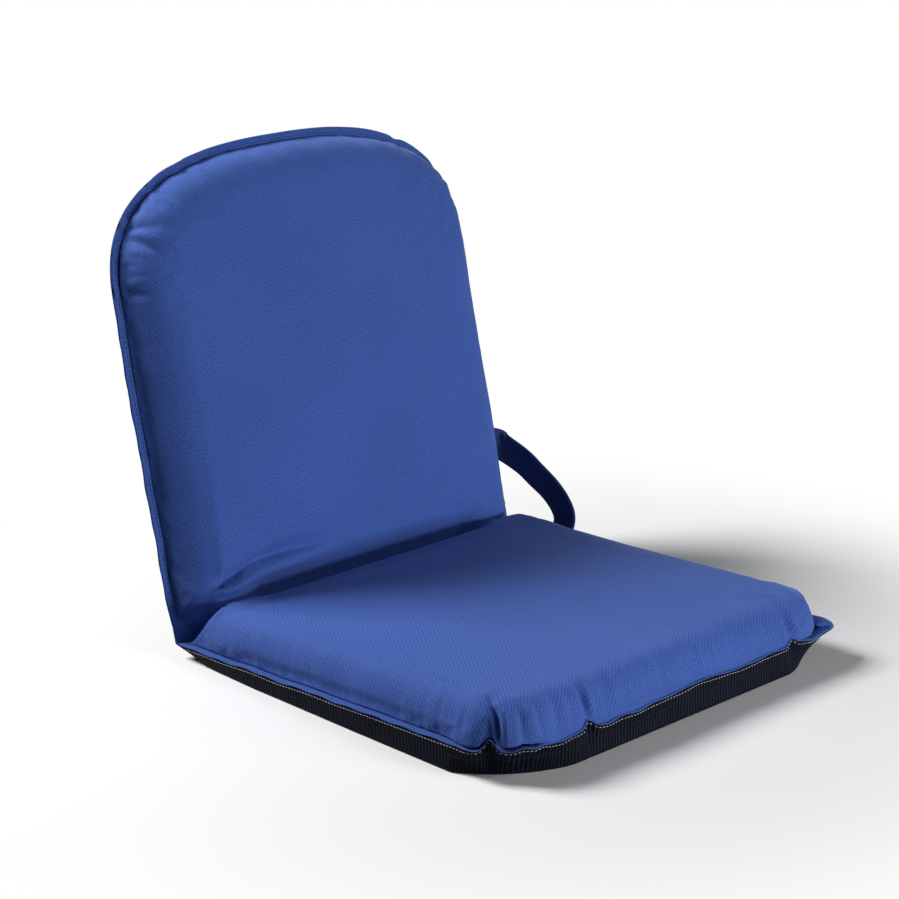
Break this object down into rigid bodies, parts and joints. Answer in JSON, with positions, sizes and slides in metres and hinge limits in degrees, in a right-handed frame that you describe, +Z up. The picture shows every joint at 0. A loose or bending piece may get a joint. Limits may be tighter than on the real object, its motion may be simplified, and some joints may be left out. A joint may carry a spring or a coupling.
{
  "type": "folding floor chair",
  "caption": "Padded floor chair whose arched back reclines and folds onto the seat on hidden ratchet hinges, with a cloth carrying strap at one side",
  "frame": {"origin": "on the floor, under the middle of the seat between the hinge corner and the front seam", "axes": "+Z up, the seat's front faces -Y, +X is the right-hand side as seen from the front"},
  "size_m": [0.4452, 0.5062, 0.4277],
  "materials": {
    "blue_twill": "royal blue polyester twill",
    "black_coated_cloth": "black ribbed cloth with a coated face",
    "strap_cloth": "navy cloth folded to a band",
    "foam": "open-cell upholstery foam",
    "frame_tube": "black powder-coated steel tube",
    "hinge_plate": "zinc-plated steel plate",
    "rivet_steel": "plated steel pins and rivets",
    "spring_steel": "spring steel leaf"
  },
  "bodies": {
    "seat": {"seat_tube": "frame_tube", "seat_cross_tube": "frame_tube", "seat_lower_foam": "foam", "seat_upper_foam": "foam", "seat_crease_foam": "foam", "seat_top_cover": "blue_twill", "seat_base_cover": "black_coated_cloth", "seat_seam": "blue_twill", "seat_rivets": "rivet_steel", "ratchet_plate_left": "hinge_plate", "ratchet_plate_right": "hinge_plate", "crease_cover": "blue_twill", "corner_cover": "black_coated_cloth", "corner_seam_left": "blue_twill", "corner_seam_right": "blue_twill"},
    "back": {"back_tube": "frame_tube", "back_cross_tube": "frame_tube", "back_lower_foam": "foam", "back_upper_foam": "foam", "back_crease_foam": "foam", "back_front_cover": "blue_twill", "back_rear_cover": "black_coated_cloth", "back_seam": "blue_twill", "back_rivets": "rivet_steel", "hinge_cheeks_left": "hinge_plate", "hinge_cheeks_right": "hinge_plate", "hinge_pin_left": "rivet_steel", "hinge_pin_right": "rivet_steel", "pawl_pin_left": "rivet_steel", "pawl_pin_right": "rivet_steel", "pawl_spring_left": "spring_steel", "pawl_spring_right": "spring_steel", "carry_strap": "strap_cloth"},
    "pawl_left": {"pawl_left": "hinge_plate"},
    "pawl_right": {"pawl_right": "hinge_plate"}
  },
  "joints": [
    {"name": "back_recline", "type": "hinge", "parent": "seat", "child": "back", "pos_m": [0, 0.18627, 0.03306], "axis": [-1, 0, 0], "range_deg": [-78.4, 78.4], "deforming": ["crease_cover", "corner_cover", "corner_seam_left", "corner_seam_right", "carry_strap", "seat_crease_foam", "back_crease_foam"]},
    {"name": "pawl_lift_left", "type": "hinge", "parent": "back", "child": "pawl_left", "pos_m": [-0.172, 0.20187, 0.0526], "axis": [1, 0, 0], "range_deg": [0, 8], "stiffness_Nm_per_rad": 0.05, "springref_deg": -4.98, "deforming": ["pawl_spring_left"]},
    {"name": "pawl_lift_right", "type": "hinge", "parent": "back", "child": "pawl_right", "pos_m": [0.172, 0.20187, 0.0526], "axis": [1, 0, 0], "range_deg": [0, 8], "stiffness_Nm_per_rad": 0.05, "springref_deg": -4.98, "deforming": ["pawl_spring_right"]}
  ]
}
